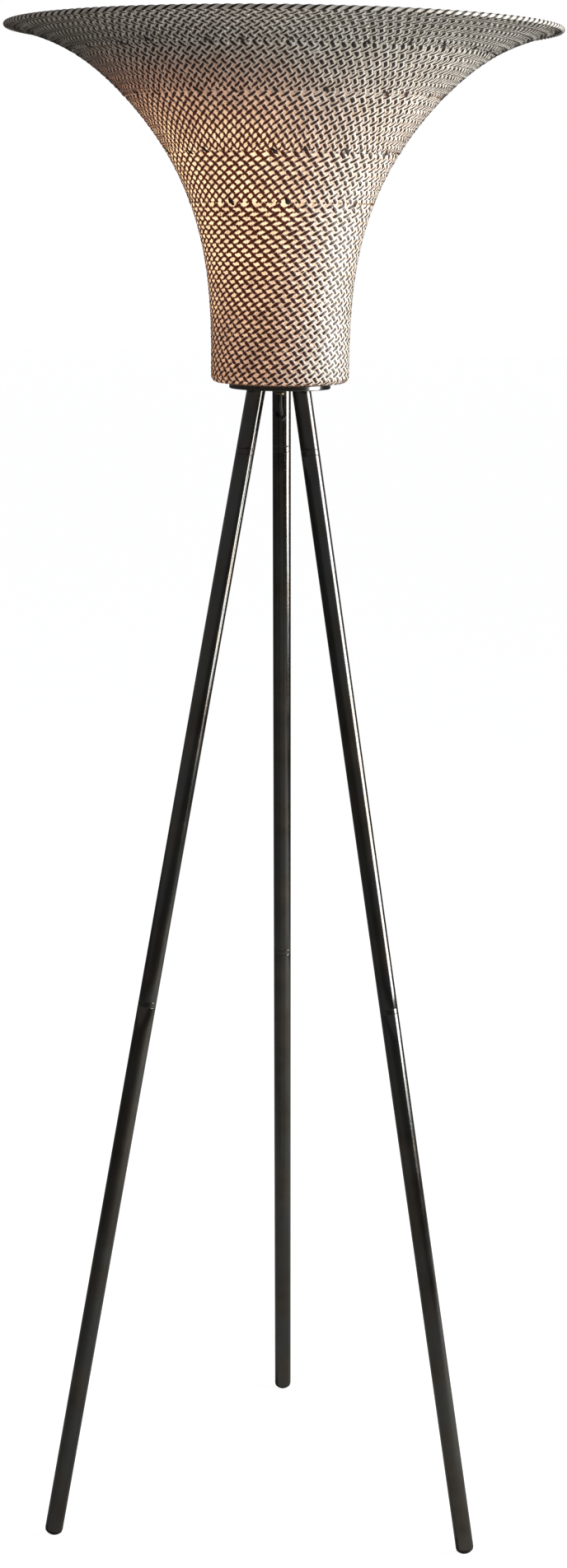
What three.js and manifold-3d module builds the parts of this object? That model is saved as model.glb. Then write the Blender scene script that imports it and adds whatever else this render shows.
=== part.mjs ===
// A tripod floor lamp: three slender steel legs carry a small round plate, and a tall
// trumpet-shaped woven shade stands on the plate around a single screw-in bulb.
//
// Millimetres, +Z up. The origin is on the floor, on the lamp's vertical axis. The rear leg
// points along +Y, and the other two stand 120 degrees either side of it.

import * as THREE from 'three';
import { mergeVertices } from 'three/addons/utils/BufferGeometryUtils.js';
import Module from 'manifold-3d';

const wasm = await Module();
wasm.setup();

// ---- Driving dimensions -------------------------------------------------------------------

// Whole lamp: the shade stands on the plate, and together they are 1830 tall
const standHeight = 1423;
const shadeHeight = 407;
const gap = 0.3; // clearance between pieces that touch

// Mounting plate
const plateThickness = 6;
const plateRadius = 60;

// Legs: the radius of the leg's axis at the plate's underside and on the floor
const legTopRadius = 30.7;
const footRadius = 297.5;
const tubeRadius = 11.1;
const tubeWall = 1.2;
const stubDrop = 74; // from the plate's underside down to the upper seam
const lowerSeamHeight = 678;

// Leg couplings
const collarLength = 6;
const spigotLength = 20;
const studLength = 18;
const insertLength = 24;
const insertWall = 1.7;
const couplingLeadSpace = 2.2; // around the lead that passes through

// Foot glides
const glideDomeHeight = 5.3;
const glideSetback = 0.6; // from the tube's outside to the glide's shoulder
const glideShoulderLength = 2;
const glidePlugLength = 15;

// Shade skin: its middle surface is a neck that flares with the cube of the height, and
// turns outwards quickly just under the rim
const rimRadius = 322;
const neckRadius = 80.5;
const flareGain = 193.5;
const flarePower = 3;
const lipPower = 26;
const skinThickness = 3;
const skinCornerRadius = 7.5;
const skinFlangeWidth = 23;

// Shade frame
const bindingRadius = 3;
const hoopWireRadius = 2;
const hoopLevels = [0.507, 0.647, 0.801, 0.922]; // shares of the skin's height
const bulbPassClearance = 6; // around the globe when the shade is lifted over it
const baseDiscThickness = 1.5;

// Centre column
const nippleRadius = 5;
const nippleBelowPlate = 7;
const nippleIntoSocket = 9;
const washerRadius = 9;
const washerThickness = 1.2;
const nutAcrossFlats = 14;
const nutThickness = 4;
const cupFloor = 2;
const cupHeight = 7;
const cupClearance = 0.6;
const riserHeight = 60;
const riserRadius = 8;

// Socket
const socketSheet = 0.8;
const linerThickness = 0.9;
const linerSpace = 2.2; // from the screw shell to the liner
const screwShellSheet = 0.6;
const socketNeckHeight = 6;
const socketShoulderRise = 6;
const socketCapHeight = 22;
const socketShellHeight = 38;
const coreClearance = 1;
const socketCoreBottom = 13;
const socketCoreTop = 36;
const screwShellHeight = 22;
const contactRadius = 4;
const contactThickness = 1;
const threadClearance = 0.4;

// Switch
const switchHeight = 28;
const shaftRadius = 2;
const shaftIntoKnob = 6.5;
const shaftSeatReach = 8; // how near the shaft comes to the socket's axis
const knobRadius = 5;
const knobLength = 9;
const knobInset = 1.2;
const paddle = { across: 15, thick: 3.2, long: 6 };

// Bulb
const bulbCapRadius = 13;
const bulbCapLength = 24;
const bulbCapSheet = 0.8;
const bulbCapTaper = 4;
const bulbInsulatorRadius = 6;
const bulbContactRadius = 4.5;
const bulbContactHeight = 1.7;
const bulbLength = 110;
const globeRadius = 30;
const globeSweep = 35; // degrees below its middle where the globe's arc begins
const glassWall = 1;
const stemFootRise = 6; // above the cap's floor
const stemFlareRise = 8; // above the glass's neck
const stemWaistRadius = 4;
const stemRise = 30;
const stemTipRadius = 3;
const filamentSpread = 10;
const filamentRise = 22;
const filamentDip = 16;
const filamentRadius = 0.8;

// Lead inside the lamp
const leadRadius = 2.8;
const leadBend = 10;
const leadClearance = 0.6;
const leadEndSetback = 3;
const leadEntryDrop = 34; // from the plate's underside down to the hole in the leg
const leadEntrySlope = THREE.MathUtils.degToRad(30);
const leadExitHeight = 52;
const grommetWall = 1.6;
const grommetLip = 1.6;
const grommetSnout = 3.5;
const glandSnout = 8;

// Facets
const tubeSegments = 16;
const shadeSegments = 36;
const smallSegments = 12;
const leadSides = 8;
const bindingSides = 8;
const wireSides = 5;

// ---- Values worked out from them ----------------------------------------------------------

const plateTop = standHeight;
const plateBottom = plateTop - plateThickness;
const totalHeight = standHeight + shadeHeight;
const legTilt = Math.atan2(footRadius - legTopRadius, plateBottom);
const tubeBore = tubeRadius - tubeWall;
const plugRadius = tubeBore - gap;
const studRadius = plugRadius - insertWall - gap;
const couplingBore = leadRadius + couplingLeadSpace;
const upperSeamHeight = plateBottom - stubDrop;
const alongLeg = (height) => height / Math.cos(legTilt);
const legRadiusAt = (height) => footRadius - height * Math.tan(legTilt);

const nippleBore = leadRadius + leadClearance;
const baseDiscBore = globeRadius + bulbPassClearance;
const screwBore = bulbCapRadius + threadClearance;
const linerBore = screwBore + screwShellSheet + linerSpace;
const socketBore = linerBore + linerThickness + gap;
const socketRadius = socketBore + socketSheet;
const leadEntryHeight = plateBottom - leadEntryDrop;
const leadHoleRadius = leadRadius + gap + grommetWall + gap;

const cupTop = plateTop + gap + cupHeight;
const cupNutBottom = plateTop + gap + cupFloor + gap;
const riserBottom = cupNutBottom + nutThickness + gap;
const socketBase = riserBottom + riserHeight + gap;
const bulbTip = socketBase + socketCoreTop + contactThickness + 3 * gap;

// ---- Materials ----------------------------------------------------------------------------

const material = (color, roughness, metalness) => new THREE.MeshStandardMaterial({
  color,
  roughness,
  metalness,
});
const bronze = material(0x2c2827, 0.35, 0.85);
const blackSteel = material(0x1d1c1c, 0.5, 0.7);
const zinc = material(0x9a9a96, 0.4, 0.9);
const brass = material(0xb08d4a, 0.35, 0.95);
const rubber = material(0x161515, 0.85, 0);
const phenolic = material(0x241d19, 0.6, 0);
const woven = material(0xd8cba6, 0.7, 0);
const binding = material(0x3a2c20, 0.6, 0);
const glass = material(0xfff0cc, 0.3, 0);
const wire = material(0xc8c8c8, 0.4, 0.8);

// ---- Helpers ------------------------------------------------------------------------------

const lamp = new THREE.Group();

function add(name, geometry, look, parent = lamp) {
  const mesh = new THREE.Mesh(geometry, look);
  mesh.name = name;
  parent.add(mesh);
  return mesh;
}

// A turned piece about the Z axis. The outline is a list of [radius, height] pairs that runs
// out along the bottom, up the outside and back over the top.
function turned(outline, segments = tubeSegments) {
  const points = outline.map(([radius, height]) => new THREE.Vector2(radius, height));
  if (points[0].x > 0) points.push(points[0].clone());
  return new THREE.LatheGeometry(points, segments).rotateX(Math.PI / 2);
}

// A straight pipe or disc with a bore.
function ring(inner, outer, bottom, top, segments = tubeSegments) {
  return turned([[inner, bottom], [outer, bottom], [outer, top], [inner, top]], segments);
}

// A round bar.
function bar(radius, bottom, top, segments = tubeSegments) {
  return turned([[0, bottom], [radius, bottom], [radius, top], [0, top]], segments);
}

// A hoop of round wire about the Z axis.
function hoop(radius, height, wireRadius, sides) {
  const outline = [];
  for (let i = 0; i < sides; i += 1) {
    const angle = (2 * Math.PI * i) / sides;
    outline.push([radius + wireRadius * Math.cos(angle), height + wireRadius * Math.sin(angle)]);
  }
  return turned(outline, shadeSegments);
}

// A hexagon nut with a round bore.
function nut(bottom) {
  const shape = new THREE.Shape();
  const corner = nutAcrossFlats / Math.sqrt(3);
  for (let i = 0; i < 6; i += 1) {
    const angle = (Math.PI * i) / 3;
    const point = [corner * Math.cos(angle), corner * Math.sin(angle)];
    if (i === 0) shape.moveTo(...point);
    else shape.lineTo(...point);
  }
  shape.closePath();
  const bore = new THREE.Path();
  bore.absarc(0, 0, nippleRadius + gap, 0, 2 * Math.PI, true);
  shape.holes.push(bore);
  const settings = { depth: nutThickness, bevelEnabled: false, curveSegments: 8 };
  return new THREE.ExtrudeGeometry(shape, settings).translate(0, 0, bottom);
}

function toSolid(geometry) {
  const bare = geometry.clone();
  bare.deleteAttribute('normal');
  bare.deleteAttribute('uv');
  const merged = mergeVertices(bare);
  return new wasm.Manifold(new wasm.Mesh({
    numProp: 3,
    vertProperties: new Float32Array(merged.attributes.position.array),
    triVerts: new Uint32Array(merged.index.array),
  }));
}

function toGeometry(solid) {
  const mesh = solid.getMesh();
  const geometry = new THREE.BufferGeometry();
  geometry.setAttribute('position', new THREE.BufferAttribute(mesh.vertProperties, 3));
  geometry.setIndex(new THREE.BufferAttribute(mesh.triVerts, 1));
  return geometry;
}

// ---- Mounting plate and centre column -----------------------------------------------------

function buildColumn() {
  const boltHole = nippleRadius + gap;
  const washerTop = plateBottom - gap;
  const washerBottom = washerTop - washerThickness;
  const lowerNutBottom = washerBottom - gap - nutThickness;
  add('mounting_plate', ring(boltHole, plateRadius, plateBottom, plateTop, shadeSegments), bronze);
  add('plate_washer', ring(boltHole, washerRadius, washerBottom, washerTop), zinc);
  add('plate_nut', nut(lowerNutBottom), zinc);

  // The cup is pressed from sheet: a flat floor with an upright rim that centres the shade.
  const cupRadius = baseDiscBore - cupClearance;
  const cupBase = plateTop + gap;
  add('centring_cup', turned([
    [boltHole, cupBase],
    [cupRadius, cupBase],
    [cupRadius, cupTop],
    [cupRadius - cupFloor, cupTop],
    [cupRadius - cupFloor, cupBase + cupFloor],
    [boltHole, cupBase + cupFloor],
  ], shadeSegments), brass);
  add('cup_nut', nut(cupNutBottom), brass);
  add('riser_sleeve', ring(boltHole, riserRadius, riserBottom, riserBottom + riserHeight), brass);

  const nippleTop = socketBase + nippleIntoSocket;
  const nippleBottom = plateBottom - nippleBelowPlate;
  add('threaded_nipple', ring(nippleBore, nippleRadius, nippleBottom, nippleTop), brass);
}

// ---- Legs ---------------------------------------------------------------------------------

// Everything on a leg is first drawn standing on the leg's own axis, then leaned inwards so
// that the axis meets the floor at the foot radius, on the +X side of the lamp.
function lean(geometry) {
  return geometry.rotateY(-legTilt).translate(footRadius, 0, 0);
}

// A straight round tool or bar, from a point on the leg's axis out along a direction.
function sideBar(radius, height, direction, near, far) {
  const geometry = bar(radius, near, far, smallSegments);
  const turn = new THREE.Quaternion().setFromUnitVectors(new THREE.Vector3(0, 0, 1), direction);
  return geometry.applyQuaternion(turn).translate(legRadiusAt(height), 0, height);
}

// The hole for the lead through one wall of a tube.
function cutLeadHole(tube, height, direction) {
  const tool = sideBar(leadHoleRadius, height, direction, 0, 2.5 * tubeRadius);
  return toGeometry(toSolid(tube).subtract(toSolid(tool)));
}

// A rubber sleeve in that hole, with a lip shaped to the tube and a snout outside it.
function leadBush(height, direction, snout) {
  const lipRadius = leadHoleRadius + grommetLip;
  const reach = tubeRadius / Math.sqrt(1 - direction.z ** 2);
  const body = toSolid(sideBar(leadHoleRadius - gap, height, direction, tubeBore, reach + snout));
  const lip = toSolid(sideBar(lipRadius, height, direction, tubeBore, reach + 2 * grommetLip));
  const tubeSpace = toSolid(lean(bar(tubeRadius + gap, 0, alongLeg(plateBottom), tubeSegments)));
  const bore = toSolid(sideBar(leadRadius + gap, height, direction, 0, 3 * tubeRadius));
  return toGeometry(body.add(lip.subtract(tubeSpace)).subtract(bore));
}

// The lead leaves the leg's axis for the hole, so the hole's line starts on that axis.
const entryDirection = new THREE.Vector3(-Math.cos(leadEntrySlope), 0, Math.sin(leadEntrySlope));
const exitDirection = new THREE.Vector3(1, 0, 0);
const axisEntryHeight = leadEntryHeight - tubeRadius * Math.tan(leadEntrySlope);

// A coupling is turned from bar: a spigot pressed into the tube above, a collar flush with
// the tubes, and a threaded stud for the insert in the tube below.
function coupling(seam) {
  const collarTop = seam + collarLength / 2;
  const collarBottom = seam - collarLength / 2;
  return turned([
    [couplingBore, collarBottom - studLength],
    [studRadius, collarBottom - studLength],
    [studRadius, collarBottom],
    [tubeRadius, collarBottom],
    [tubeRadius, collarTop],
    [plugRadius, collarTop],
    [plugRadius, collarTop + spigotLength],
    [couplingBore, collarTop + spigotLength],
  ]);
}

function insert(seam) {
  const top = seam - collarLength / 2 - gap;
  return ring(studRadius + gap, plugRadius, top - insertLength, top);
}

// The glide is a moulded plug. Its dome is part of a ball that touches the floor at height
// zero however the leg leans, and the ball's size comes from the dome's height and width.
const shoulderRadius = tubeRadius - glideSetback;
const domeRadius = (shoulderRadius ** 2 + glideDomeHeight ** 2) / (2 * glideDomeHeight);
const domeCentre = alongLeg(domeRadius);
const domeAngle = Math.asin(shoulderRadius / domeRadius);
const tubeEnd = domeCentre - domeRadius + glideDomeHeight + glideShoulderLength + gap;

function glide() {
  const outline = [];
  const domeSteps = 4;
  for (let i = 0; i <= domeSteps; i += 1) {
    const angle = (domeAngle * i) / domeSteps;
    outline.push([domeRadius * Math.sin(angle), domeCentre - domeRadius * Math.cos(angle)]);
  }
  outline.push([shoulderRadius, tubeEnd - gap]);
  outline.push([plugRadius, tubeEnd - gap]);
  outline.push([plugRadius, tubeEnd + glidePlugLength]);
  outline.push([0, tubeEnd + glidePlugLength]);
  return turned(outline);
}

// The stub is welded under the plate, so its top is cut level with the plate's underside.
function stub(bottom) {
  const tube = lean(ring(tubeBore, tubeRadius, bottom, alongLeg(plateTop)));
  const above = new THREE.BoxGeometry(4 * legTopRadius, 4 * legTopRadius, 4 * legTopRadius);
  above.translate(legTopRadius, 0, plateBottom - gap + 2 * legTopRadius);
  return toGeometry(toSolid(tube).subtract(toSolid(above)));
}

function buildLeg(side, azimuth, carriesLead) {
  const leg = new THREE.Group();
  leg.rotation.z = THREE.MathUtils.degToRad(azimuth);
  lamp.add(leg);

  const upperSeam = alongLeg(upperSeamHeight);
  const lowerSeam = alongLeg(lowerSeamHeight);
  const collarReach = collarLength / 2 + gap;
  let upper = stub(upperSeam + collarReach);
  let lower = lean(ring(tubeBore, tubeRadius, tubeEnd, lowerSeam - collarReach));
  if (carriesLead) {
    upper = cutLeadHole(upper, axisEntryHeight, entryDirection);
    lower = cutLeadHole(lower, leadExitHeight, exitDirection);
  }
  const middle = ring(tubeBore, tubeRadius, lowerSeam + collarReach, upperSeam - collarReach);

  add(`leg_stub_${side}`, upper, bronze, leg);
  add(`leg_middle_${side}`, lean(middle), bronze, leg);
  add(`leg_lower_${side}`, lower, bronze, leg);
  add(`upper_coupling_${side}`, lean(coupling(upperSeam)), bronze, leg);
  add(`upper_insert_${side}`, lean(insert(upperSeam)), zinc, leg);
  add(`lower_coupling_${side}`, lean(coupling(lowerSeam)), bronze, leg);
  add(`lower_insert_${side}`, lean(insert(lowerSeam)), zinc, leg);
  add(`foot_glide_${side}`, lean(glide()), rubber, leg);
  return leg;
}

// ---- Lead inside the lamp -----------------------------------------------------------------

// The lead runs down inside the nipple, crosses the open space under the plate, enters the
// rear leg and follows its axis to the gland at the foot.
function bentLead(corners, steps) {
  const route = new THREE.CurvePath();
  let start = corners[0];
  for (let i = 1; i < corners.length - 1; i += 1) {
    const corner = corners[i];
    const arriving = corner.clone().sub(corners[i - 1]).normalize();
    const leaving = corners[i + 1].clone().sub(corner).normalize();
    const tangent = leadBend * Math.tan(arriving.angleTo(leaving) / 2);
    const bendStart = corner.clone().addScaledVector(arriving, -tangent);
    const bendEnd = corner.clone().addScaledVector(leaving, tangent);
    route.add(new THREE.LineCurve3(start, bendStart));
    route.add(new THREE.QuadraticBezierCurve3(bendStart, corner, bendEnd));
    start = bendEnd;
  }
  route.add(new THREE.LineCurve3(start, corners[corners.length - 1]));

  const section = new THREE.Shape();
  section.absarc(0, 0, leadRadius, 0, 2 * Math.PI);
  const settings = { steps, curveSegments: leadSides / 2, bevelEnabled: false, extrudePath: route };
  return toSolid(new THREE.ExtrudeGeometry(section, settings));
}

function buildLead(leg) {
  // The bends and the straight run are drawn apart and joined with a short overlap.
  const straightTop = leadEntryHeight - 5 * leadBend;
  const straightBottom = leadExitHeight + 3 * leadBend;
  const overlap = 2;
  const onAxis = (height) => new THREE.Vector3(legRadiusAt(height), 0, height);

  const leadTop = new THREE.Vector3(0, 0, socketBase + nippleIntoSocket - leadEndSetback);
  const entry = onAxis(axisEntryHeight);
  const crossing = legRadiusAt(axisEntryHeight) * Math.tan(leadEntrySlope);
  const underPlate = new THREE.Vector3(0, 0, axisEntryHeight + crossing);
  const top = bentLead([leadTop, underPlate, entry, onAxis(straightTop)], 44);

  const middle = toSolid(lean(bar(
    leadRadius,
    alongLeg(straightBottom - overlap),
    alongLeg(straightTop + overlap),
    leadSides,
  )));

  const exit = onAxis(leadExitHeight);
  const end = exit.clone().addScaledVector(exitDirection, tubeRadius + leadEndSetback);
  const bottom = bentLead([onAxis(straightBottom), exit, end], 16);
  add('internal_lead', toGeometry(top.add(middle).add(bottom)), rubber, leg);
}

// ---- Socket and switch --------------------------------------------------------------------

// A round bar that points along +X at the switch's height.
function switchBar(radius, near, far) {
  const height = socketBase + switchHeight;
  return bar(radius, near, far, smallSegments).rotateY(Math.PI / 2).translate(0, 0, height);
}

function buildSocket() {
  // The cap is spun from sheet: a neck that screws onto the nipple, a shoulder and a skirt.
  const neck = riserRadius + socketSheet;
  const throat = nippleRadius + gap;
  const neckTop = socketBase + socketNeckHeight;
  const shoulderTop = neckTop + socketShoulderRise;
  const capTop = socketBase + socketCapHeight;
  add('socket_cap', turned([
    [throat, socketBase],
    [neck, socketBase],
    [neck, neckTop],
    [socketRadius, shoulderTop],
    [socketRadius, capTop],
    [socketBore, capTop],
    [socketBore, shoulderTop + socketSheet / 2],
    [neck - socketSheet, neckTop + socketSheet],
    [throat, neckTop + socketSheet],
  ]), brass);

  const shellBottom = capTop + gap;
  const shellTop = shellBottom + socketShellHeight;
  const shell = toSolid(ring(socketBore, socketRadius, shellBottom, shellTop));
  const shaftHole = toSolid(switchBar(shaftRadius + 2 * gap, 0, 2 * socketRadius));
  add('socket_shell', toGeometry(shell.subtract(shaftHole)), brass);

  const coreTop = socketBase + socketCoreTop;
  const core = toSolid(bar(socketBore - coreClearance, socketBase + socketCoreBottom, coreTop));
  const shaftSeat = toSolid(switchBar(shaftRadius + gap, shaftSeatReach, 2 * socketRadius));
  add('socket_core', toGeometry(core.subtract(shaftSeat)), phenolic);

  const screwBottom = coreTop + gap;
  const screwTop = screwBottom + screwShellHeight;
  add('screw_shell', ring(screwBore, screwBore + screwShellSheet, screwBottom, screwTop), zinc);
  const liner = ring(linerBore, linerBore + linerThickness, screwBottom, shellTop);
  add('socket_liner', liner, phenolic);
  const contactTop = coreTop + gap + contactThickness;
  add('centre_contact', bar(contactRadius, coreTop + gap, contactTop, smallSegments), brass);

  const knobStart = socketRadius + knobInset;
  const shaftReach = knobStart + shaftIntoKnob;
  add('switch_shaft', switchBar(shaftRadius, shaftSeatReach + gap, shaftReach), zinc);
  const knobEnd = knobStart + knobLength;
  const grip = new THREE.BoxGeometry(paddle.long, paddle.thick, paddle.across);
  grip.translate(knobEnd, 0, socketBase + switchHeight);
  const knobBore = toSolid(switchBar(shaftRadius + gap / 2, 0, shaftReach + gap));
  const knob = toSolid(switchBar(knobRadius, knobStart, knobEnd)).add(toSolid(grip));
  add('switch_knob', toGeometry(knob.subtract(knobBore)), phenolic);
}

// ---- Bulb ---------------------------------------------------------------------------------

// Outline of the glass from its neck up to its crown: a flank that swells from the neck to
// the globe, then the globe's arc over the top.
function glassOutline(inset, neckHeight) {
  const centre = bulbTip + bulbLength - globeRadius;
  const radius = globeRadius - inset;
  const neck = bulbCapRadius - inset;
  const joinAngle = THREE.MathUtils.degToRad(-globeSweep);
  const joinRadius = radius * Math.cos(joinAngle);
  const joinHeight = centre + radius * Math.sin(joinAngle);
  const reach = 0.4 * (joinHeight - neckHeight);
  const profile = new THREE.Path();
  profile.moveTo(neck, neckHeight);
  profile.bezierCurveTo(
    neck,
    neckHeight + reach,
    joinRadius + reach * Math.sin(joinAngle),
    joinHeight - reach * Math.cos(joinAngle),
    joinRadius,
    joinHeight,
  );
  profile.absarc(0, centre, radius, joinAngle, Math.PI / 2, false);
  return profile.getPoints(4).map((point) => [Math.max(point.x, 0), point.y]);
}

// The glass is open at its neck. The two crown points are set exactly on the axis.
function glassShell(neckHeight) {
  const outside = glassOutline(0, neckHeight);
  const inside = glassOutline(glassWall, neckHeight).reverse();
  outside[outside.length - 1][0] = 0;
  inside[0][0] = 0;
  return turned([...outside, ...inside]);
}

// The cap is a thin cup with a tapered floor.
function bulbCap(bottom, top) {
  const inner = bulbCapRadius - bulbCapSheet;
  const taperTop = bottom + bulbCapTaper;
  return turned([
    [0, bottom],
    [bulbInsulatorRadius, bottom],
    [bulbCapRadius, taperTop],
    [bulbCapRadius, top],
    [inner, top],
    [inner, taperTop + bulbCapSheet],
    [bulbInsulatorRadius, bottom + bulbCapSheet],
    [0, bottom + bulbCapSheet],
  ]);
}

function buildBulb() {
  const contactTop = bulbTip + bulbContactHeight;
  const capBottom = contactTop + gap;
  const capTop = capBottom + bulbCapLength;
  const glassBottom = capTop + gap;
  add('bulb_contact', bar(bulbContactRadius, bulbTip, contactTop, smallSegments), zinc);
  add('bulb_cap', bulbCap(capBottom, capTop), zinc);
  add('bulb_glass', glassShell(glassBottom), glass);

  // The glass stem flares out at its foot inside the cap and carries the filament.
  const stemTop = glassBottom + stemRise;
  const stemFoot = capBottom + stemFootRise;
  add('bulb_stem', turned([
    [0, stemFoot],
    [bulbCapRadius - bulbCapSheet - gap, stemFoot],
    [stemWaistRadius, glassBottom + stemFlareRise],
    [stemTipRadius, stemTop],
    [0, stemTop],
  ], smallSegments), glass);

  const filamentArc = new THREE.QuadraticBezierCurve3(
    new THREE.Vector3(-filamentSpread, 0, stemTop + filamentRise),
    new THREE.Vector3(0, 0, stemTop - filamentDip),
    new THREE.Vector3(filamentSpread, 0, stemTop + filamentRise),
  );
  const section = new THREE.Shape();
  section.absarc(0, 0, filamentRadius, 0, 2 * Math.PI);
  add('bulb_filament', new THREE.ExtrudeGeometry(section, {
    steps: 8,
    curveSegments: 3,
    bevelEnabled: false,
    extrudePath: filamentArc,
  }), wire);
}

// ---- Shade --------------------------------------------------------------------------------

// The skin's middle surface: height between the flange on the plate and the rim.
const skinBottom = plateTop + gap + skinThickness / 2;
const skinTop = totalHeight - bindingRadius;
const lipGain = rimRadius - bindingRadius - neckRadius - flareGain;

function skinRadius(height) {
  const share = (height - skinBottom) / (skinTop - skinBottom);
  return neckRadius + flareGain * share ** flarePower + lipGain * share ** lipPower;
}

// Outward direction of the skin at a height, as [radial, vertical].
function skinNormal(height) {
  const step = 0.01;
  const slope = (skinRadius(height) - skinRadius(height - step)) / step;
  const size = Math.hypot(1, slope);
  return [1 / size, -slope / size];
}

// A point on the skin moved outwards by a distance (inwards when negative).
function skinPoint(height, distance) {
  const [radial, vertical] = skinNormal(height);
  return [skinRadius(height) + distance * radial, height + distance * vertical];
}

// One face of the skin, from the flange's inner edge, round the corner and up to the rim.
function skinFace(distance) {
  const cornerHeight = skinBottom + skinCornerRadius;
  const cornerSteps = 3;
  const wallSteps = 13;
  const [lipRadial] = skinNormal(skinTop);
  const wallTop = skinTop - (bindingRadius + 2 * gap + skinThickness / 2) * lipRadial;
  const cornerRadius = neckRadius - skinCornerRadius;
  const face = [[cornerRadius - skinFlangeWidth, skinBottom - distance]];
  for (let i = 0; i < cornerSteps; i += 1) {
    const angle = (Math.PI / 2) * (i / cornerSteps);
    const radius = skinCornerRadius + distance;
    face.push([
      cornerRadius + radius * Math.sin(angle),
      cornerHeight - radius * Math.cos(angle),
    ]);
  }
  for (let i = 0; i <= wallSteps; i += 1) {
    const share = 1 - (1 - i / wallSteps) ** 1.7;
    face.push(skinPoint(cornerHeight + (wallTop - cornerHeight) * share, distance));
  }
  return face;
}

function buildShade() {
  const half = skinThickness / 2;
  const skin = turned([...skinFace(half), ...skinFace(-half).reverse()], shadeSegments);
  add('woven_shade', skin, woven);
  const binder = hoop(rimRadius - bindingRadius, skinTop, bindingRadius, bindingSides);
  add('rim_binding', binder, binding);

  // Wire hoops lie against the skin's inner face where the weave changes its strand count.
  const offset = -(half + hoopWireRadius + 2 * gap);
  hoopLevels.forEach((share, index) => {
    const [radius, level] = skinPoint(skinBottom + share * (skinTop - skinBottom), offset);
    add(`frame_hoop_${index + 1}`, hoop(radius, level, hoopWireRadius, wireSides), blackSteel);
  });

  // A flat disc with a large bore lies on the skin's turned-under flange, and the base wire
  // stands on the disc in the skin's corner.
  const discBottom = skinBottom + half + gap;
  const discTop = discBottom + baseDiscThickness;
  const discRadius = neckRadius - skinCornerRadius;
  const disc = ring(baseDiscBore, discRadius, discBottom, discTop, shadeSegments);
  add('base_disc', disc, blackSteel);
  const wireHeight = discTop + gap + hoopWireRadius;
  const baseWire = hoop(discRadius - hoopWireRadius, wireHeight, hoopWireRadius, wireSides);
  add('base_wire', baseWire, blackSteel);
}

// ---- Assembly -----------------------------------------------------------------------------

buildColumn();
const rearLeg = buildLeg('rear', 90, true);
buildLeg('left', 210, false);
buildLeg('right', 330, false);
add('lead_grommet', leadBush(axisEntryHeight, entryDirection, grommetSnout), rubber, rearLeg);
add('foot_gland', leadBush(leadExitHeight, exitDirection, glandSnout), rubber, rearLeg);
buildLead(rearLeg);
buildSocket();
buildBulb();
buildShade();

export default lamp;
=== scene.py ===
# %% [markdown]
# # A tripod floor lamp under a woven trumpet shade
#
# The lamp is a thin round plate on three splayed metal tubes, with a tall shade woven like a
# basket from two families of slanting strands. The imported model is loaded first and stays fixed:
# it says where each part is, and every piece made below is placed by asking it.

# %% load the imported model
import math
import bpy
import numpy as np
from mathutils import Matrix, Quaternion, Vector


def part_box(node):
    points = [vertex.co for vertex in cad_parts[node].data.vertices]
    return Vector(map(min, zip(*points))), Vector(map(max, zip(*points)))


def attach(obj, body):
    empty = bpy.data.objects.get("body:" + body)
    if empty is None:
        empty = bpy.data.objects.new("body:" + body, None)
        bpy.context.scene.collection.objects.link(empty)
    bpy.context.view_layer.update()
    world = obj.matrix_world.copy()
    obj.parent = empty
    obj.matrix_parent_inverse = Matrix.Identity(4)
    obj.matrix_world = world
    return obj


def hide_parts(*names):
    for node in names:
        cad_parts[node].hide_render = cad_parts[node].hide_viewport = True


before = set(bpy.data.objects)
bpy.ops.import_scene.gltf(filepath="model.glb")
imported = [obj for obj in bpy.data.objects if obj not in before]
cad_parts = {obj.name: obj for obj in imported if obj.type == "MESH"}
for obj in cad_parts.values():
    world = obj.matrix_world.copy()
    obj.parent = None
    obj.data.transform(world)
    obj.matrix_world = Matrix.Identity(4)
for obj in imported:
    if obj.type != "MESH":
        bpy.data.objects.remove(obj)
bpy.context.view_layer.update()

# %% [markdown]
# ## The camera
#
# A lamp this tall is seen whole from about three metres away. The camera stands level with the
# middle of the shade and tips down twelve degrees, and a fairly long lens keeps the legs from
# spreading. The camera is set by where it stands and how far it tips, because those are what a
# person would measure.

# %% camera
camera_distance = 3.0972
camera_height = 1.6095
camera_turn = 0.0696
camera_pitch = 0.2139
camera_roll = 0.0116
camera_lens = 59.39
camera_shift = 0.0053


def make_camera():
    """Stands the camera round the lamp's upright axis, aims it at the axis and tips it down."""
    camera = bpy.data.objects.new("camera", bpy.data.cameras.new("camera"))
    bpy.context.scene.collection.objects.link(camera)
    camera.data.lens = camera_lens
    camera.data.sensor_width = 36.0
    camera.data.shift_x = camera_shift
    camera.location = (
        camera_distance * math.sin(camera_turn),
        -camera_distance * math.cos(camera_turn),
        camera_height,
    )
    ahead = Vector(
        (
            -math.sin(camera_turn) * math.cos(camera_pitch),
            math.cos(camera_turn) * math.cos(camera_pitch),
            -math.sin(camera_pitch),
        )
    )
    camera.rotation_mode = "QUATERNION"
    roll = Quaternion((0, 0, 1), camera_roll)
    camera.rotation_quaternion = ahead.to_track_quat("-Z", "Y") @ roll
    bpy.context.scene.camera = camera
    return camera


camera = make_camera()
print("camera stands at", tuple(round(v, 3) for v in camera.location))

# %% [markdown]
# ## Building node trees with few lines
#
# Every finish below is a small graph of nodes. One helper fills or links a node's sockets, and the
# others make nodes, groups and materials with it, so that a material reads like a list of what
# happens to the surface.

# %% node helper


def wire(tree, fed, sockets):
    """Feeds a node: another node's output is linked, any other value is set on the socket."""
    for socket, value in sockets.items():
        if isinstance(value, bpy.types.NodeSocket):
            tree.links.new(value, fed.inputs[socket])
        else:
            fed.inputs[socket].default_value = value


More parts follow.
